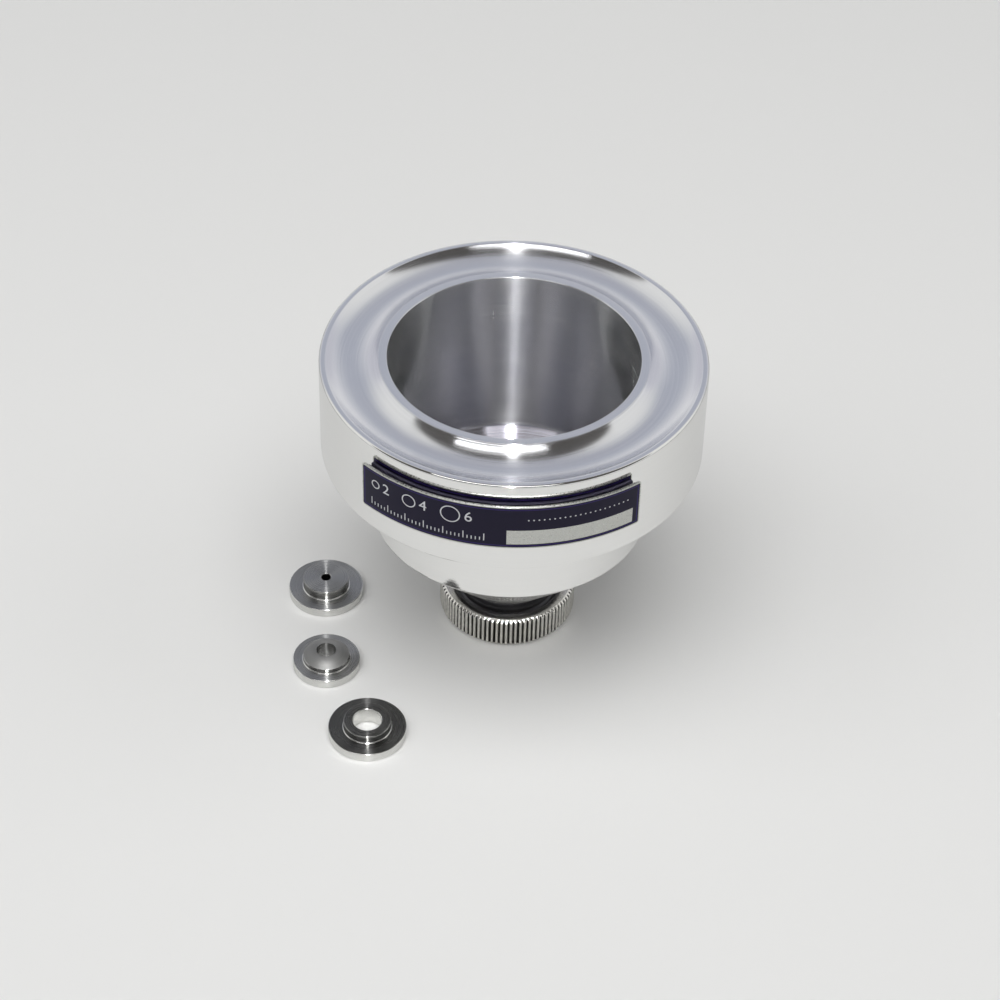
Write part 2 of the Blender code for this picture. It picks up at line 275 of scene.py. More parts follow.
def finishPiece(name, shape, place, materials, body, replaced, sharp=35.0, weighted=True):
    bmesh.ops.translate(shape, verts=shape.verts[:], vec=place)
    mesh = bpy.data.meshes.new(name)
    shape.to_mesh(mesh)
    shape.free()
    for material in materials:
        mesh.materials.append(material)
    mesh.shade_smooth()
    mesh.set_sharp_from_angle(angle=radians(sharp))
    piece = bpy.data.objects.new(name, mesh)
    bpy.context.scene.collection.objects.link(piece)
    if weighted:
        normals = piece.modifiers.new("flatFaces", "WEIGHTED_NORMAL")
        normals.weight = 100
        normals.keep_sharp = True
    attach(piece, body)
    if replaced:
        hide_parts(*replaced)
    return piece


# The cup

cup = {
    "boreRadius": 25 * mm, "outletRadius": 5.1 * mm, "coneAngle": radians(45),
    "landWidth": 1.8 * mm, "landStep": 0.25 * mm,
    "galleryWidth": 10.3 * mm, "galleryDepth": 2.1 * mm, "lipDrop": 0.4 * mm,
    "wallDepth": 21.4 * mm, "barrelWall": 3.35 * mm,
    "baseHeight": 27.95 * mm, "shoulderRadius": 11.2 * mm, "shoulderHeight": 9.46 * mm,
    "reliefRadius": 9.6 * mm, "reliefBottom": 6.6 * mm, "coreRadius": 9.95 * mm, "threadTop": 5.9 * mm,
    "spigotEnd": 4 * mm, "recessRadius": 6.9 * mm, "recessTop": 5 * mm, "outletTop": 7.7 * mm,
    "steps": 320, "galleryFacets": 64,
}
boreLook = {"color": (0.83, 0.835, 0.83), "shade": (0.70, 0.705, 0.705), "rough": 0.205, "roughSpread": 0.03,
            "grain": 0.005 * mm, "rings": 2.0, "lines": 3500, "drift": 0.6, "anisotropic": 1.0, "smudge": 0.05}
cupLooks = {
    "cupWallPolish": {
        "color": (0.90, 0.90, 0.885), "shade": (0.87, 0.87, 0.86), "rough": 0.035, "roughSpread": 0.015,
        "grain": 0.003 * mm, "rings": 0.5, "lines": 4000, "drift": 0.5, "anisotropic": 0.5, "smudge": 0.04},
    "cupGalleryPolish": {
        "color": (0.86, 0.865, 0.89), "shade": (0.80, 0.805, 0.83), "rough": 0.13, "roughSpread": 0.02,
        "grain": 0.004 * mm, "rings": 3.0, "lines": 5000, "drift": 0.5, "anisotropic": 1.0, "smudge": 0.04},
    "cupBoreTurned": boreLook,
    # painted shade: the spigot is coloured dark to stand for the shade in the gap between cup and nut
    "cupSpigotShade": {
        "color": (0.20, 0.20, 0.21), "shade": (0.10, 0.10, 0.11), "rough": 0.45, "roughSpread": 0.1,
        "grain": 0.02 * mm, "rings": 1.0, "lines": 3000, "drift": 0.5, "anisotropic": 0.3, "smudge": 0.1},
    # painted shade: a darker copy of the bore metal for the cone at the foot of the bore, tinted lavender as a
    # painted reflection
    "cupConeShaded": {**boreLook, "color": (0.60, 0.59, 0.66), "shade": (0.50, 0.49, 0.55), "rough": 0.14},
    # painted shade: a darker copy of the bore metal for the cone under the cup
    "cupUndersideShaded": {**boreLook, "color": (0.60, 0.60, 0.595), "shade": (0.50, 0.50, 0.495), "rough": 0.14},
}


def cupOutline():
    lipHeight = rimHeight - cup["lipDrop"]
    wallBase = rimHeight - cup["wallDepth"]
    barrelRadius = cup["boreRadius"] + cup["barrelWall"]
    coneTop = cup["outletTop"] + (cup["boreRadius"] - cup["outletRadius"]) / tan(cup["coneAngle"])
    landRadius = cup["boreRadius"] + cup["landWidth"]
    galleryStart = (landRadius, rimHeight - cup["landStep"])
    galleryEnd = (landRadius + cup["galleryWidth"], lipHeight)
    outside = [
        (wallRadius, lipHeight, 0.6 * mm),
        (wallRadius, wallBase, 0.35 * mm),
        (barrelRadius, wallBase, 0.6 * mm),
        (barrelRadius, cup["baseHeight"], 0.25 * mm),
        (cup["shoulderRadius"], cup["shoulderHeight"], 0.15 * mm),
        (cup["reliefRadius"], cup["shoulderHeight"], 0.2 * mm),
        (cup["reliefRadius"], cup["reliefBottom"], 0.2 * mm),
        (cup["coreRadius"], cup["threadTop"], 0),
        (cup["coreRadius"], cup["spigotEnd"], 0.3 * mm),
    ]
    inside = [
        (cup["recessRadius"], cup["spigotEnd"], 0.1 * mm),
        (cup["recessRadius"], cup["recessTop"], 0),
        (cup["outletRadius"], cup["recessTop"], 0.1 * mm),
        (cup["outletRadius"], cup["outletTop"], 0.3 * mm),
        (cup["boreRadius"], coneTop, 0.5 * mm),
        (cup["boreRadius"], rimHeight, 0.22 * mm),
        (landRadius, rimHeight, 0.16 * mm),
        (*galleryStart, 0),
    ]
    trough = arcPoints(galleryStart, galleryEnd, cup["galleryDepth"], cup["galleryFacets"])
    return outside + inside + trough + [(*galleryEnd, 0.2 * mm)]


def cupRegion(centre):
    # Which of the looks a face takes, from where its middle is
    radius = hypot(centre.x, centre.y)
    slack = 0.01 * mm
    coneHeight = cup["outletTop"] + (radius - cup["outletRadius"]) / tan(cup["coneAngle"])
    boreBottom = cup["outletTop"] + (cup["boreRadius"] - cup["outletRadius"]) / tan(cup["coneAngle"])
    if centre.z < cup["shoulderHeight"] + slack and radius < cup["shoulderRadius"] - 0.2 * mm:
        return "cupSpigotShade"
    if centre.z < min(cup["baseHeight"], coneHeight - 0.5 * mm):
        return "cupUndersideShaded"
    if radius < cup["boreRadius"] + 5 * slack and centre.z < rimHeight - slack:
        return "cupBoreTurned" if centre.z > boreBottom + 10 * slack else "cupConeShaded"
    if centre.z > rimHeight - 3 * mm and radius < wallRadius - 0.3 * mm:
        return "cupGalleryPolish"
    return "cupWallPolish"


def makeCup():
    names = list(cupLooks)
    materials = [turnedMetal(name, cupAxis, look) for name, look in cupLooks.items()]
    shape = spinOutline(cupOutline(), cup["steps"])
    for face in shape.faces:
        face.material_index = names.index(cupRegion(face.calc_center_median()))
    finishPiece("cupShell", shape, cupAxis, materials, "cup", ["cup_body"])
    print("cup made")
    # the spigot's painted-shade look also goes on the thread
    return materials[names.index("cupSpigotShade")]


thread = {
    "radius": 10.45 * mm, "pitch": 1 * mm, "turns": 1.25, "steps": 120,
    "foot": 0.15 * mm, "halfWidth": 0.42 * mm, "crestShare": 0.15, "sunk": 0.1 * mm,
}


def makeSpigotThread(material):
    # One ridge, spun with a rise of one pitch a turn
    shape = bmesh.new()
    start = cup["spigotEnd"] + thread["foot"]
    half = thread["halfWidth"]
    root = cup["coreRadius"] - thread["sunk"]
    corners = [
        (root, start),
        (thread["radius"], start + half * (1 - thread["crestShare"])),
        (thread["radius"], start + half * (1 + thread["crestShare"])),
        (root, start + 2 * half),
    ]
    face = shape.faces.new([shape.verts.new((radius, 0.0, height)) for radius, height in corners])
    bmesh.ops.spin(
        shape, geom=[face], cent=(0, 0, 0), axis=(0, 0, 1),
        dvec=(0, 0, thread["pitch"] * thread["turns"] / thread["steps"]),
        angle=2 * pi * thread["turns"], steps=thread["steps"],
        use_merge=False, use_normal_flip=False, use_duplicate=False,
    )
    bmesh.ops.recalc_face_normals(shape, faces=shape.faces[:])
    finishPiece("spigotThread", shape, cupAxis, [material], "cup", [], weighted=False)


# The knurled nut

nut = {
    "height": 6.9 * mm, "crest": 14.15 * mm, "knurlDepth": 0.55 * mm, "knurlCount": 88, "columns": 8,
    "grooveShape": 1.3, "grooveDepths": (0.85, 1.0), "grooveReach": 0.5 * mm, "seed": 11,
    "edge": 0.5 * mm, "easing": 0.12 * mm, "slope": 0.25 * mm, "boreRadius": 10.8 * mm, "countersink": 1.0 * mm,
    "pocketRadius": 8.1 * mm, "pocketTop": 3.7 * mm, "web": 1.5 * mm,
    "mouthRadius": 5.6 * mm, "mouthChamfer": 0.4 * mm,
    # painted shade and dirt: the colour, noise size, groove depth and roughening for the knurl grooves
    "dirtAndShade": (0.045, 0.044, 0.042), "dirtAndShadeScale": 900.0, "dirtAndShadeFrom": 0.45, "dirtAndShadeRough": 0.3,
}
nutLook = {"color": (0.90, 0.89, 0.84), "shade": (0.70, 0.69, 0.65), "rough": 0.16, "roughSpread": 0.05,
           "grain": 0.008 * mm, "rings": 1.0, "lines": 2500, "drift": 0.9, "anisotropic": 0.4, "smudge": 0.06}


def nutOutline():
    face = nut["crest"] - nut["knurlDepth"] - nut["slope"]
    eased = nut["crest"] - nut["easing"]
    return [
        (face, nut["height"], 0.12 * mm),
        (eased, nut["height"] - nut["edge"], 0.1 * mm),
        (nut["crest"], nut["height"] - nut["edge"] - nut["slope"], 0),
        (nut["crest"], nut["edge"] + nut["slope"], 0),
        (eased, nut["edge"], 0.1 * mm),
        (face, 0.0, 0.12 * mm),
        (nut["mouthRadius"] + nut["mouthChamfer"], 0.0, 0.05 * mm),
        (nut["mouthRadius"], nut["mouthChamfer"], 0.05 * mm),
        (nut["mouthRadius"], nut["web"], 0),
        (nut["pocketRadius"], nut["web"], 0),
        (nut["pocketRadius"], nut["pocketTop"], 0),
        (nut["boreRadius"], nut["pocketTop"], 0),
        (nut["boreRadius"], nut["height"] - nut["countersink"], 0),
        (nut["boreRadius"] + nut["countersink"], nut["height"], 0.06 * mm),
    ]


def cutKnurl(shape):
    # Each column of points is held inside its place on the ridges, which are round on top with deep grooves between
    random.seed(nut["seed"])
    columns = nut["knurlCount"] * nut["columns"]
    depths = [random.uniform(*nut["grooveDepths"]) for ridge in range(nut["knurlCount"] + 1)]
    hollow = shape.verts.layers.float.new("groove")
    for vertex in shape.verts:
        column = round(atan2(vertex.co.y, vertex.co.x) / (2 * pi / columns)) % columns
        phase = (column % nut["columns"]) / nut["columns"]
        groove = (0.5 - 0.5 * cos(2 * pi * phase)) ** nut["grooveShape"] * depths[column // nut["columns"]]
        limit = nut["crest"] - nut["knurlDepth"] * groove
        radius = hypot(vertex.co.x, vertex.co.y)
        vertex[hollow] = groove if radius > nut["crest"] - nut["grooveReach"] else 0.0
        if radius > limit:
            vertex.co.x *= limit / radius
            vertex.co.y *= limit / radius


def darkenGrooves(material):
    # Painted shade and dirt in the grooves: the colour darkens and roughens by groove depth, broken up by noise
    tree = material.node_tree
    shader = tree.nodes["Principled BSDF"]
    hollow = addNode(tree, "ShaderNodeAttribute", attribute_name="groove").outputs["Fac"]
    place = addNode(tree, "ShaderNodeTexCoord").outputs["Object"]
    patch = addNode(tree, "ShaderNodeTexNoise", {"Vector": place, "Scale": nut["dirtAndShadeScale"], "Detail": 3.0})
    broken = addMath(tree, "MULTIPLY_ADD", patch.outputs[0], 0.5, hollow)
    depth = addRange(tree, broken, nut["dirtAndShadeFrom"], 1.0, smooth=True)
    color = shader.inputs["Base Color"].links[0].from_socket
    rough = shader.inputs["Roughness"].links[0].from_socket
    tree.links.new(addMix(tree, depth, color, (*nut["dirtAndShade"], 1.0)), shader.inputs["Base Color"])
    tree.links.new(addMath(tree, "MULTIPLY_ADD", depth, nut["dirtAndShadeRough"], rough), shader.inputs["Roughness"])


def makeNut():
    material = turnedMetal("knurledNickel", cupAxis, nutLook)
    darkenGrooves(material)
    shape = spinOutline(nutOutline(), nut["knurlCount"] * nut["columns"], 3)
    cutKnurl(shape)
    finishPiece("knurledNut", shape, cupAxis, [material], "nut", ["nozzle_nut"], 50.0)
    print("nut made")


# Nozzles

nozzle = {"bossRadius": 4.8 * mm, "edge": 0.18 * mm, "fillet": 0.3 * mm, "steps": 160,
          "crownFacets": 16, "crownCurve": 2.0, "smallHole": 1.5 * mm, "wideHole": 2.5 * mm}
fittedNozzle = {"hole": 2.5 * mm, "flange": 1.9 * mm, "boss": 2.2 * mm, "crown": 0.0}
looseNozzles = {
    "nozzle_2mm": {"hole": 1.0 * mm, "flange": 2.0 * mm, "boss": 2.2 * mm, "crown": 0.0, "body": "loose_2mm"},
    "nozzle_4mm": {"hole": 2.0 * mm, "flange": 2.0 * mm, "boss": 0.8 * mm, "crown": 1.4 * mm, "body": "loose_4mm"},
    "nozzle_6mm": {"hole": 2.9 * mm, "flange": 2.0 * mm, "boss": 1.8 * mm, "crown": 0.0, "body": "loose_6mm",
                   # tone: painted shade that darkens this nozzle's flat faces
                   "tone": 0.37},
}
faceLook = {"color": (0.38, 0.38, 0.375), "shade": (0.30, 0.30, 0.295), "rough": 0.27, "roughSpread": 0.04,
            "grain": 0.004 * mm, "rings": 2.0, "lines": 6000, "drift": 0.2, "anisotropic": 1.0, "smudge": 0.06}
# Lit and shaded copies of one turned steel: Face, Boss and Crown are painted darker as shade, Side is painted lighter
# as light on the outer sides, and Hole is painted shade inside the small hole
nozzleLooks = {
    "Face": faceLook,
    "Side": {**faceLook, "color": (0.80, 0.80, 0.78), "shade": (0.66, 0.66, 0.64), "rough": 0.16},
    "Boss": {**faceLook, "color": (0.42, 0.42, 0.41), "shade": (0.32, 0.32, 0.31), "rough": 0.15},
    "Hole": {**faceLook, "color": (0.12, 0.12, 0.12), "shade": (0.08, 0.08, 0.08), "anisotropic": 0.0},
    "Crown": {**faceLook, "color": (0.31, 0.31, 0.305), "shade": (0.24, 0.24, 0.235), "rough": 0.62,
              "anisotropic": 0.3},
}


def nozzleOutline(flangeRadius, size):
    edge = nozzle["edge"]
    rim = size["flange"] + size["boss"]
    top = rim + size["crown"]
    mouth = size["hole"] + edge
    dome = []
    for index in range(1, nozzle["crownFacets"] if size["crown"] else 1):
        share = index / nozzle["crownFacets"]
        across = mouth + (nozzle["bossRadius"] - mouth) * share
        dome.append((across, top - size["crown"] * share ** nozzle["crownCurve"], 0))
    return dome + [
        (nozzle["bossRadius"], rim, 0 if size["crown"] else edge),
        (nozzle["bossRadius"], size["flange"], nozzle["fillet"]),
        (flangeRadius, size["flange"], edge),
        (flangeRadius, 0.0, edge),
        (size["hole"], 0.0, edge),
        (size["hole"], top, 0 if size["crown"] else edge),
    ] + ([(mouth, top, 0)] if size["crown"] else [])


def nozzleRegion(face, size):
    # Which of the looks a face takes; the wall of a small hole is painted dark as shade and that of a middling one is
    # as the faces
    reach = face.calc_center_median().xy.length
    inHole = reach < size["hole"] + 0.05 * mm
    if inHole and size["hole"] < nozzle["smallHole"]:
        return "Hole"
    if size["crown"] and face.normal.z > 0.7 and reach < nozzle["bossRadius"]:
        return "Crown"
    if abs(face.normal.z) > 0.98 or (inHole and size["hole"] < nozzle["wideHole"]):
        return "Face"
    if size["hole"] + 0.3 * mm < reach < nozzle["bossRadius"] + 0.05 * mm:
        return "Boss"
    return "Side"


def makeNozzle(name, node, size, body):
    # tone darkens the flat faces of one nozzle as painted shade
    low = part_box(node)[0]
    centre = nodeAxis(node) + Vector((0, 0, low.z))
    shadedFaces = {key: tuple(part * size.get("tone", 1.0) for part in faceLook[key]) for key in ("color", "shade")}
    looks = {**nozzleLooks, "Face": {**faceLook, **shadedFaces}}
    names = list(looks)
    materials = [turnedMetal(name + region, centre, look) for region, look in looks.items()]
    shape = spinOutline(nozzleOutline(nodeRadius(node), size), nozzle["steps"])
    shape.normal_update()
    for face in shape.faces:
        face.material_index = names.index(nozzleRegion(face, size))
    finishPiece(name, shape, centre, materials, body, [node])


def makeNozzles():
    makeNozzle("fittedNozzle", "fitted_nozzle", fittedNozzle, "nozzle_carriage")
    for node, size in looseNozzles.items():
        makeNozzle("loose" + node.split("_")[1], node, size, size["body"])
    print("nozzles made")


# The sealing ring

seal = {"gap": 0.3 * mm, "rounding": 0.2 * mm, "steps": 128, "speckScale": 2200.0,
        "dark": (0.014, 0.014, 0.014), "light": (0.030, 0.029, 0.028), "rough": (0.5, 0.7)}


def makeSeal():
    material, tree, shader = startMaterial("blackRubber", 0.0)
    place = addNode(tree, "ShaderNodeTexCoord").outputs["Object"]
    speck = addNode(tree, "ShaderNodeTexNoise", {"Vector": place, "Scale": seal["speckScale"], "Detail": 3.0})
    tone = addMix(tree, speck.outputs[0], (*seal["dark"], 1.0), (*seal["light"], 1.0))
    tree.links.new(tone, shader.inputs["Base Color"])
    tree.links.new(addRange(tree, speck.outputs[0], 0.3, 0.7, *seal["rough"]), shader.inputs["Roughness"])
    low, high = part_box("nozzle_seal")
    outer = nodeRadius("nozzle_seal")
    inner = nozzle["bossRadius"] + seal["gap"]
    corners = [(outer, high.z - low.z), (outer, 0), (inner, 0), (inner, high.z - low.z)]
    shape = spinOutline([(*corner, seal["rounding"]) for corner in corners], seal["steps"])
    centre = nodeAxis("nozzle_seal") + Vector((0, 0, low.z))
    finishPiece("sealRing", shape, centre, [material], "nozzle_carriage", ["nozzle_seal"])


# The label plate and its tape, wrapped on the wall

label = {
    "azimuth": radians(-93.6), "span": radians(83.0), "height": 10.4 * mm, "middle": 57.3 * mm,
    "plateInner": 39.6 * mm, "plateThickness": 0.5 * mm, "corner": 0.6 * mm,
    "tapeInner": 38.7 * mm, "tapeThickness": 0.6 * mm, "tapeInset": 1.0 * mm, "tapeCorner": 0.3 * mm,
    "plateRounding": 0.08 * mm, "tapeRounding": 0.05 * mm, "columns": 110,
}
plateOuter = label["plateInner"] + label["plateThickness"]
plateWidth = label["span"] * plateOuter
printed = {
    # millimetres on the plate: the bare edge, the line inside it and the bare field
    "bareEdge": (0.28, 0.34), "line": 0.70, "lineHalf": 0.12, "fieldMiddle": (14.6, -2.4), "fieldHalf": (12.7, 1.75),
    "ink": ((0.0085, 0.0070, 0.0220), (0.0125, 0.0100, 0.0310)), "lineColor": (0.030, 0.019, 0.115),
    "silver": ((0.42, 0.43, 0.41), (0.66, 0.66, 0.63)), "inkRough": (0.32, 0.42), "silverRough": (0.22, 0.38),
    "grainScale": 3.2, "grainDepth": 0.004 * mm, "specular": 0.15,
}


def bendRound(shape, radius, measured):
    # Cuts a flat shape into columns and bends it round the cup's axis; lengths along it hold at the radius measured
    width = label["span"] * measured
    for column in range(1, label["columns"]):
        bmesh.ops.bisect_plane(
            shape, geom=shape.verts[:] + shape.edges[:] + shape.faces[:],
            plane_co=(width * (column / label["columns"] - 0.5), 0, 0), plane_no=(1, 0, 0), dist=0.001 * mm,
        )
    place = shape.verts.layers.float_vector.new("printPlace")
    for vertex in shape.verts:
        vertex[place] = vertex.co / mm
        angle = label["azimuth"] + vertex.co.x / measured
        reach = radius + vertex.co.z
        vertex.co = (reach * cos(angle), reach * sin(angle), vertex.co.y)
    bmesh.ops.recalc_face_normals(shape, faces=shape.faces[:])


def wrappedPlate(radius, thickness, width, height, corner, rounding):
    # A flat sheet with round corners, thickened outwards, rounded at its rims and bent round the cup's axis
    shape = bmesh.new()
    bmesh.ops.create_grid(shape, x_segments=1, y_segments=1, size=0.5)
    bmesh.ops.scale(shape, verts=shape.verts[:], vec=(width, height, 1.0))
    bmesh.ops.bevel(
        shape, geom=shape.verts[:], offset=corner, offset_type="OFFSET", segments=6,
        profile=0.5, affect="VERTICES", material=-1,
    )
    sides = bmesh.ops.extrude_face_region(shape, geom=shape.faces[:])
    lifted = [item for item in sides["geom"] if isinstance(item, bmesh.types.BMVert)]
    bmesh.ops.translate(shape, verts=lifted, vec=(0, 0, thickness))
    bmesh.ops.recalc_face_normals(shape, faces=shape.faces[:])
    rims = [edge for edge in shape.edges if edge.calc_face_angle(0) > radians(60)]
    bmesh.ops.bevel(
        shape, geom=rims, offset=rounding, offset_type="OFFSET", segments=3,
        profile=0.5, affect="EDGES", material=-1,
    )
    bendRound(shape, radius, radius + thickness)
    return shape


def printGroup():
    # How far inward from the plate's rounded edge in millimetres, the bare field at lower right, and grain
    group, given, made = newGroup(
        "labelPrint",
        [("Half Width", "NodeSocketFloat", 29.0), ("Half Height", "NodeSocketFloat", 5.2),
         ("Corner", "NodeSocketFloat", 0.6)],
        [("Depth", "NodeSocketFloat"), ("Field", "NodeSocketFloat"), ("Grain", "NodeSocketFloat")],
    )
    spot = addNode(group, "ShaderNodeAttribute", attribute_name="printPlace").outputs["Vector"]
    parts = addNode(group, "ShaderNodeSeparateXYZ", {0: spot})
    over = []
    for axis, half in enumerate(("Half Width", "Half Height")):
        straight = addMath(group, "SUBTRACT", given[half], given["Corner"])
        over.append(addMath(group, "SUBTRACT", addMath(group, "ABSOLUTE", parts.outputs[axis]), straight))
    outX, outY = [addMath(group, "MAXIMUM", part, 0.0) for part in over]
    squares = addMath(group, "ADD", addMath(group, "MULTIPLY", outX, outX), addMath(group, "MULTIPLY", outY, outY))
    outside = addMath(group, "SQRT", squares)
    inside = addMath(group, "MINIMUM", addMath(group, "MAXIMUM", *over), 0.0)
    depth = addMath(group, "SUBTRACT", given["Corner"], addMath(group, "ADD", outside, inside))
    within = []
    for axis, (middle, half) in enumerate(zip(printed["fieldMiddle"], printed["fieldHalf"])):
        away = addMath(group, "ABSOLUTE", addMath(group, "SUBTRACT", parts.outputs[axis], middle))
        within.append(addMath(group, "SUBTRACT", half, away))
    field = addRange(group, addMath(group, "MINIMUM", *within), -0.03, 0.03)
    grain = addNode(
        group, "ShaderNodeTexNoise",
        {"Vector": spot, "Scale": printed["grainScale"], "Detail": 3.0, "Roughness": 0.7},
    )
    group.links.new(depth, made["Depth"])
    group.links.new(field, made["Field"])
    group.links.new(grain.outputs[0], made["Grain"])
    return group


def labelMaterial():
    material, tree, shader = startMaterial("labelPlatePrint", 0.0)
    zones = addNode(
        tree, "ShaderNodeGroup",
        {"Half Width": plateWidth / mm / 2, "Half Height": label["height"] / mm / 2, "Corner": label["corner"] / mm},
        node_tree=printGroup(),
    )
    depth, field, grain = zones.outputs["Depth"], zones.outputs["Field"], zones.outputs["Grain"]
    edge = addRange(tree, depth, *printed["bareEdge"], 1.0, 0.0)
    fromLine = addMath(tree, "ABSOLUTE", addMath(tree, "SUBTRACT", depth, printed["line"]))
    line = addRange(tree, addMath(tree, "SUBTRACT", printed["lineHalf"], fromLine), -0.02, 0.02)
    ink = addMix(tree, grain, *[(*tone, 1.0) for tone in printed["ink"]])
    lined = addMix(tree, line, ink, (*printed["lineColor"], 1.0))
    bare = addMath(tree, "MAXIMUM", edge, field)
    silver = addMix(tree, grain, *[(*tone, 1.0) for tone in printed["silver"]])
    tree.links.new(addMix(tree, bare, lined, silver), shader.inputs["Base Color"])
    tree.links.new(bare, shader.inputs["Metallic"])
    inkRough = addRange(tree, grain, 0.3, 0.7, *printed["inkRough"])
    bareRough = addRange(tree, grain, 0.3, 0.7, *printed["silverRough"])
    rough = addNode(tree, "ShaderNodeMix", {0: bare, 2: inkRough, 3: bareRough}, data_type="FLOAT")
    tree.links.new(rough.outputs[0], shader.inputs["Roughness"])
    bump = addNode(tree, "ShaderNodeBump", {"Height": grain, "Distance": printed["grainDepth"]})
    tree.links.new(bump.outputs[0], shader.inputs["Normal"])
    shader.inputs["Specular IOR Level"].default_value = printed["specular"]
    return material


foam = {"cellScale": 5000.0, "cellDepth": 0.05 * mm, "rough": (0.6, 0.9),
        "dark": (0.010, 0.008, 0.022), "light": (0.030, 0.026, 0.055)}


def tapeMaterial():
    material, tree, shader = startMaterial("tapeFoam", 0.0)
    place = addNode(tree, "ShaderNodeTexCoord").outputs["Object"]
    cells = addNode(tree, "ShaderNodeTexVoronoi", {"Vector": place, "Scale": foam["cellScale"]}).outputs["Distance"]
    tone = addMix(tree, cells, (*foam["dark"], 1.0), (*foam["light"], 1.0))
    tree.links.new(tone, shader.inputs["Base Color"])
    tree.links.new(addRange(tree, cells, 0.0, 1.0, *foam["rough"]), shader.inputs["Roughness"])
    bump = addNode(tree, "ShaderNodeBump", {"Height": cells, "Distance": foam["cellDepth"]})
    tree.links.new(bump.outputs[0], shader.inputs["Normal"])
    return material


# Printed marks: a ring for each nozzle hole with its number, a row of ticks and a row of dots

marks = {
    "proud": 0.012 * mm, "sunk": 0.02 * mm, "line": 0.24 * mm, "tickLine": 0.192 * mm, "numberSize": 3.4 * mm,
    # millimetres on the plate; each ring has its place, its radius and its number
    "rings": [(-25.4, 1.0, "2"), (-17.6, 1.5, "4"), (-9.0, 2.0, "6")], "ringHeight": 1.75, "numberGap": 0.7,
    "ticks": {"start": -26.4, "end": -2.4, "step": 0.8, "foot": -3.55, "short": 0.8, "long": 1.7, "every": 5},
    "dots": {"start": 6.0, "end": 26.0, "step": 1.0, "height": 1.9, "radius": 0.16},
    "colors": ((0.50, 0.51, 0.54), (0.74, 0.75, 0.78)), "grainScale": 4.0, "rough": (0.35, 0.5),
}


def flatRing(shape, centre, outer, inner):
    edges = []
    for radius in (outer, inner):
        ring = bmesh.ops.create_circle(shape, segments=48, radius=radius)["verts"]
        bmesh.ops.translate(shape, verts=ring, vec=centre)
        edges += list({edge for vertex in ring for edge in vertex.link_edges})
    bmesh.ops.bridge_loops(shape, edges=edges)


def flatBar(shape, centre, width, height):
    corners = bmesh.ops.create_grid(shape, x_segments=1, y_segments=1, size=0.5)["verts"]
    bmesh.ops.scale(shape, verts=corners, vec=(width, height, 1.0))
    bmesh.ops.translate(shape, verts=corners, vec=centre)


def flatNumber(shape, text, left, middle):
    curve = bpy.data.curves.new("number", "FONT")
    curve.body = text
    curve.size = marks["numberSize"]
    curve.align_y = "CENTER"
    curve.resolution_u = 6
    holder = bpy.data.objects.new("number", curve)
    flat = holder.to_mesh()
    flat.transform(Matrix.Translation((left, middle, 0)))
    shape.from_mesh(flat)
    holder.to_mesh_clear()
    bpy.data.objects.remove(holder)
    bpy.data.curves.remove(curve)


def marksMaterial():
    material, tree, shader = startMaterial("labelMarksPrint", 0.0)
    spot = addNode(tree, "ShaderNodeAttribute", attribute_name="printPlace").outputs["Vector"]
    grain = addNode(
        tree, "ShaderNodeTexNoise", {"Vector": spot, "Scale": marks["grainScale"], "Detail": 3.0, "Roughness": 0.7},
    )
    tone = addMix(tree, grain.outputs[0], *[(*color, 1.0) for color in marks["colors"]])
    tree.links.new(tone, shader.inputs["Base Color"])
    tree.links.new(addRange(tree, grain.outputs[0], 0.3, 0.7, *marks["rough"]), shader.inputs["Roughness"])
    return material


def makeMarks(radius, middle):
    shape = bmesh.new()
    for across, size, number in marks["rings"]:
        centre = (across * mm, marks["ringHeight"] * mm, 0)
        flatRing(shape, centre, size * mm, size * mm - marks["line"])
        flatNumber(shape, number, (across + size + marks["numberGap"]) * mm, marks["ringHeight"] * mm)
    ticks = marks["ticks"]
    for index in range(round((ticks["end"] - ticks["start"]) / ticks["step"]) + 1):
        tall = (ticks["long"] if index % ticks["every"] == 0 else ticks["short"]) * mm
        across = (ticks["start"] + index * ticks["step"]) * mm
        flatBar(shape, (across, ticks["foot"] * mm + tall / 2, 0), marks["tickLine"], tall)
    dots = marks["dots"]
    for index in range(round((dots["end"] - dots["start"]) / dots["step"]) + 1):
        spot = bmesh.ops.create_circle(shape, cap_ends=True, segments=20, radius=dots["radius"] * mm)["verts"]
        across = (dots["start"] + index * dots["step"]) * mm
        bmesh.ops.translate(shape, verts=spot, vec=(across, dots["height"] * mm, 0))
    bmesh.ops.recalc_face_normals(shape, faces=shape.faces[:])
    raised = bmesh.ops.extrude_face_region(shape, geom=shape.faces[:])
    lifted = [item for item in raised["geom"] if isinstance(item, bmesh.types.BMVert)]
    bmesh.ops.translate(shape, verts=lifted, vec=(0, 0, marks["proud"] + marks["sunk"]))
    bmesh.ops.translate(shape, verts=shape.verts[:], vec=(0, 0, -marks["sunk"]))
    bendRound(shape, radius, radius)
    finishPiece("labelMarks", shape, middle, [marksMaterial()], "cup", [], weighted=False)


def makeLabel():
    middle = cupAxis + Vector((0, 0, label["middle"]))
    plate = wrappedPlate(
        label["plateInner"], label["plateThickness"], plateWidth, label["height"],
        label["corner"], label["plateRounding"],
    )
    finishPiece("labelPlate", plate, middle, [labelMaterial()], "cup", ["label_plate"])
    inset = 2 * label["tapeInset"]
    tape = wrappedPlate(
        label["tapeInner"], label["tapeThickness"], plateWidth - inset, label["height"] - inset,
        label["tapeCorner"], label["tapeRounding"],
    )
    finishPiece("labelTape", tape, middle, [tapeMaterial()], "cup", ["label_tape"])
    makeMarks(plateOuter, middle)
    print("label made")


# Floor, light and camera

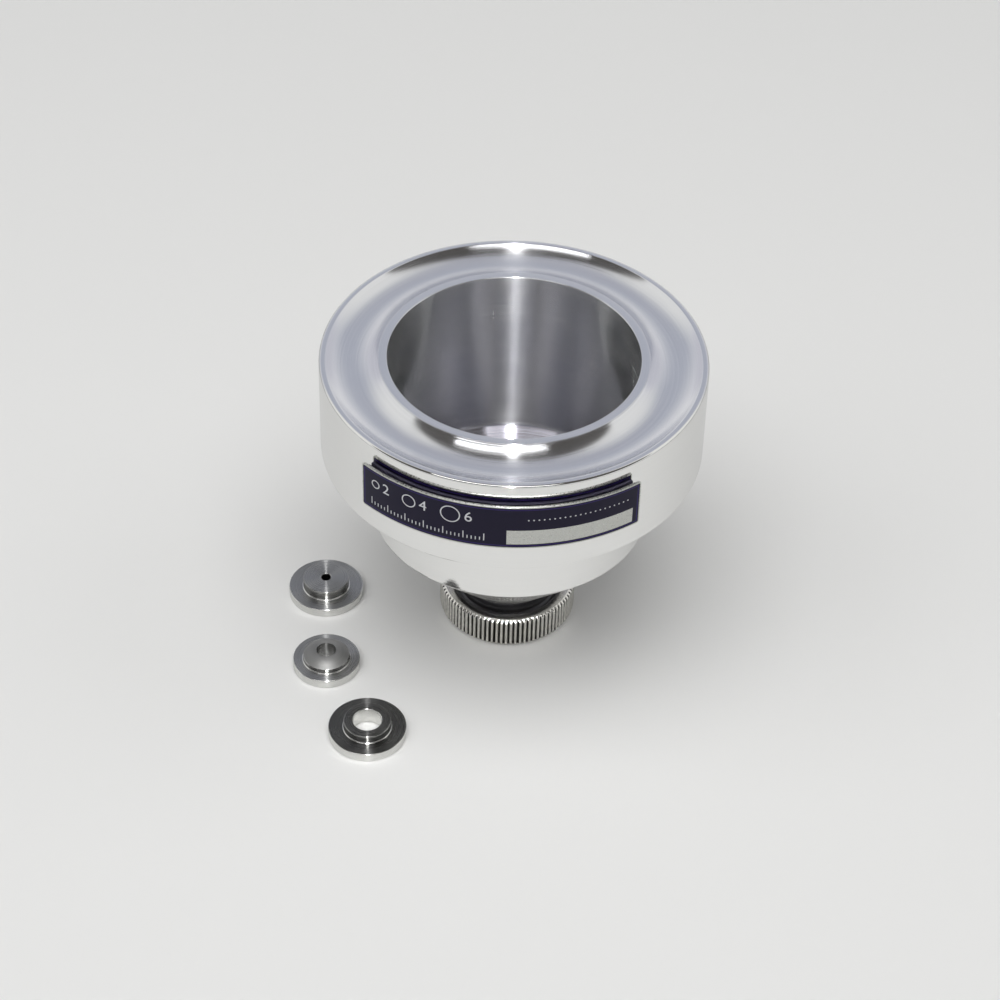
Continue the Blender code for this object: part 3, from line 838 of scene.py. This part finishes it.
studio = {
    "color": (0.80, 0.80, 0.79), "cloudShade": 0.985, "cloudScale": 6.0, "radius": 3.0, "rough": 0.7, "specular": 0.2,
    "farColor": (0.74, 0.74, 0.73), "farBlend": (0.24, 0.60),
    # as metal shows it, with painted shade: near, behind the cup and far off, and where one passes into the other
    "mirroredTones": (0.92, 0.79, 0.36), "behindBlend": (-0.06, 0.10), "mirroredBlend": (0.13, 0.60),
    "evenLight": (0.25, 0.25, 0.25),
}


def makeFloor():
    material, tree, shader = startMaterial("paleFloor", 0.0)
    place = addNode(tree, "ShaderNodeTexCoord").outputs["Object"]
    cloud = addNode(tree, "ShaderNodeTexNoise", {"Vector": place, "Scale": studio["cloudScale"], "Detail": 2.0})
    shade = [part * studio["cloudShade"] for part in studio["color"]]
    tone = addMix(tree, cloud.outputs[0], (*shade, 1.0), (*studio["color"], 1.0))
    # Painted shade in reflections: as metal shows it, the floor is painted dimmer behind the cup and far off; far off
    # the camera sees it evenly pale
    depth = addNode(tree, "ShaderNodeSeparateXYZ", {0: place}).outputs[1]
    reach = addNode(tree, "ShaderNodeVectorMath", {0: place}, operation="LENGTH").outputs["Value"]
    near, back, far = [(*[part * share for part in studio["color"]], 1.0) for share in studio["mirroredTones"]]
    around = addMix(tree, addRange(tree, depth, *studio["behindBlend"], smooth=True), near, back)
    mirrored = addMix(tree, addRange(tree, reach, *studio["mirroredBlend"], smooth=True), around, far)
    path = addNode(tree, "ShaderNodeLightPath").outputs
    tree.links.new(addMix(tree, path["Is Glossy Ray"], tone, mirrored), shader.inputs["Base Color"])
    pale = addNode(tree, "ShaderNodeEmission", {"Color": (*studio["farColor"], 1.0)})
    farOff = addRange(tree, reach, *studio["farBlend"], smooth=True)
    distant = addMath(tree, "MULTIPLY", path["Is Camera Ray"], farOff)
    blend = addNode(tree, "ShaderNodeMixShader", {0: distant, 1: shader.outputs[0], 2: pale.outputs[0]})
    tree.links.new(blend.outputs[0], tree.nodes["Material Output"].inputs["Surface"])
    shader.inputs["Roughness"].default_value = studio["rough"]
    shader.inputs["Specular IOR Level"].default_value = studio["specular"]
    shape = bmesh.new()
    bmesh.ops.create_circle(shape, cap_ends=True, segments=96, radius=studio["radius"])
    mesh = bpy.data.meshes.new("floor")
    shape.to_mesh(mesh)
    shape.free()
    mesh.materials.append(material)
    floor = bpy.data.objects.new("floor", mesh)
    bpy.context.scene.collection.objects.link(floor)


lamps = {
    # azimuth from the camera's side and elevation in degrees, distance, width and height, how bright its face is,
    # and True where only metal shows it, or False where it lights and metal doesn't show it
    "stripLamp": (-11, 62, 1.1, (0.95, 0.26), 2.75, True),
    "sparkLamp": (1, 50, 1.0, (0.02, 0.02), 8000.0, True),
    "topBox": (0, 75, 1.2, (1.0, 1.0), 3.1, False),
    "leftBox": (-75, 48, 1.3, (0.9, 0.7), 1.6, False),
    "rightBox": (95, 42, 1.3, (0.7, 0.7), 1.2, False),
}
lampTarget = 0.04  # the height that the lamps face


def towards(azimuth, elevation):
    # The direction at an azimuth from the camera's side and an elevation, in degrees
    around, up = radians(azimuth), radians(elevation)
    return Vector((sin(around) * cos(up), -cos(around) * cos(up), sin(up)))


def addLamp(name, azimuth, elevation, distance, sizes, strength, mirrored):
    lamp = bpy.data.lights.new(name, "AREA")
    lamp.shape = "RECTANGLE"
    lamp.size, lamp.size_y = sizes
    lamp.energy = strength * pi * sizes[0] * sizes[1]
    away = towards(azimuth, elevation)
    holder = bpy.data.objects.new(name, lamp)
    holder.location = cupAxis + Vector((0, 0, lampTarget)) + away * distance
    holder.rotation_euler = away.to_track_quat("Z", "Y").to_euler()
    holder.visible_glossy = mirrored
    holder.visible_diffuse = not mirrored
    bpy.context.scene.collection.objects.link(holder)


def addGlow(tree, base, direction, azimuth, elevation, inner, outer, width, color):
    # Blends a soft area of the room's wall or ceiling to another colour; width stretches it sideways
    narrow = addNode(tree, "ShaderNodeVectorMath", {0: direction, 1: (1 / width, 1, 1)}, operation="MULTIPLY")
    unit = addNode(tree, "ShaderNodeVectorMath", {0: narrow.outputs[0]}, operation="NORMALIZE")
    near = addNode(
        tree, "ShaderNodeVectorMath", {0: unit.outputs[0], 1: towards(azimuth, elevation)}, operation="DOT_PRODUCT",
    )
    share = addRange(tree, near.outputs["Value"], cos(radians(outer)), cos(radians(inner)), smooth=True)
    return addMix(tree, share, base, (*color, 1.0))


room = {
    # how high (0 horizon, 1 overhead) and colour
    "heights": [(0.0, (0.86, 0.86, 0.85)), (0.30, (0.74, 0.74, 0.76)), (0.62, (0.44, 0.46, 0.52)),
                (0.85, (0.43, 0.44, 0.49)), (1.0, (0.48, 0.49, 0.53))],
    # azimuth from the camera's side, elevation, full and outer angle, width, and colour
    "glows": [(-100, 44, 12, 38, 1.0, (0.80, 0.80, 0.78)), (100, 44, 12, 38, 1.0, (0.80, 0.80, 0.78)),
              (0, 60, 34, 40, 2.6, (0.09, 0.085, 0.08)),
              (-138, 7, 10, 22, 1.0, (0.58, 0.58, 0.63)), (138, 7, 10, 22, 1.0, (0.58, 0.58, 0.63))],
}


def makeWorld():
    # In metal: pale near the horizon, lavender grey above, dim behind the camera; the camera sees it evenly pale
    # What falls on everything else is one even light
    world = bpy.data.worlds.new("studioRoom")
    bpy.context.scene.world = world
    world.use_nodes = True
    tree = world.node_tree
    place = addNode(tree, "ShaderNodeTexCoord").outputs["Generated"]
    up = addNode(tree, "ShaderNodeSeparateXYZ", {0: place}).outputs[2]
    ramp = addNode(tree, "ShaderNodeValToRGB", {0: up})
    while len(ramp.color_ramp.elements) < len(room["heights"]):
        ramp.color_ramp.elements.new(0.5)
    for element, (position, color) in zip(ramp.color_ramp.elements, room["heights"]):
        element.position = position
        element.color = (*color, 1.0)
    mirrored = ramp.outputs[0]
    for glow in room["glows"]:
        mirrored = addGlow(tree, mirrored, place, *glow)
    path = addNode(tree, "ShaderNodeLightPath").outputs
    backdrop = addMix(tree, path["Is Camera Ray"], mirrored, (*studio["farColor"], 1.0))
    seen = addMath(tree, "MAXIMUM", path["Is Camera Ray"], path["Is Glossy Ray"])
    background = tree.nodes["Background"]
    tree.links.new(addMix(tree, seen, (*studio["evenLight"], 1.0), backdrop), background.inputs["Color"])
    background.inputs["Strength"].default_value = 1.0
    world.cycles.sampling_method = "NONE"


view = {
    "place": (0.0018454, -0.4226555, 0.4133169), "dip": radians(42.0255), "roll": radians(1.5713),
    "lens": 100.8, "sensor": 36.0,
}


def makeCamera():
    lens = bpy.data.cameras.new("photoCamera")
    lens.lens = view["lens"]
    lens.sensor_width = view["sensor"]
    lens.clip_start = 0.01
    camera = bpy.data.objects.new("photoCamera", lens)
    tilt = Matrix.Rotation(pi / 2 - view["dip"], 4, "X")
    roll = Matrix.Rotation(view["roll"], 4, "Z")
    camera.matrix_world = Matrix.Translation(view["place"]) @ tilt @ roll
    bpy.context.scene.collection.objects.link(camera)
    bpy.context.scene.camera = camera


def makeStudio():
    makeFloor()
    makeWorld()
    for name, lamp in lamps.items():
        addLamp(name, *lamp)
    makeCamera()
    bpy.context.scene.view_settings.view_transform = "Standard"
    print("studio made")


makeSpigotThread(makeCup())
makeNut()
makeNozzles()
makeSeal()
makeLabel()
makeStudio()
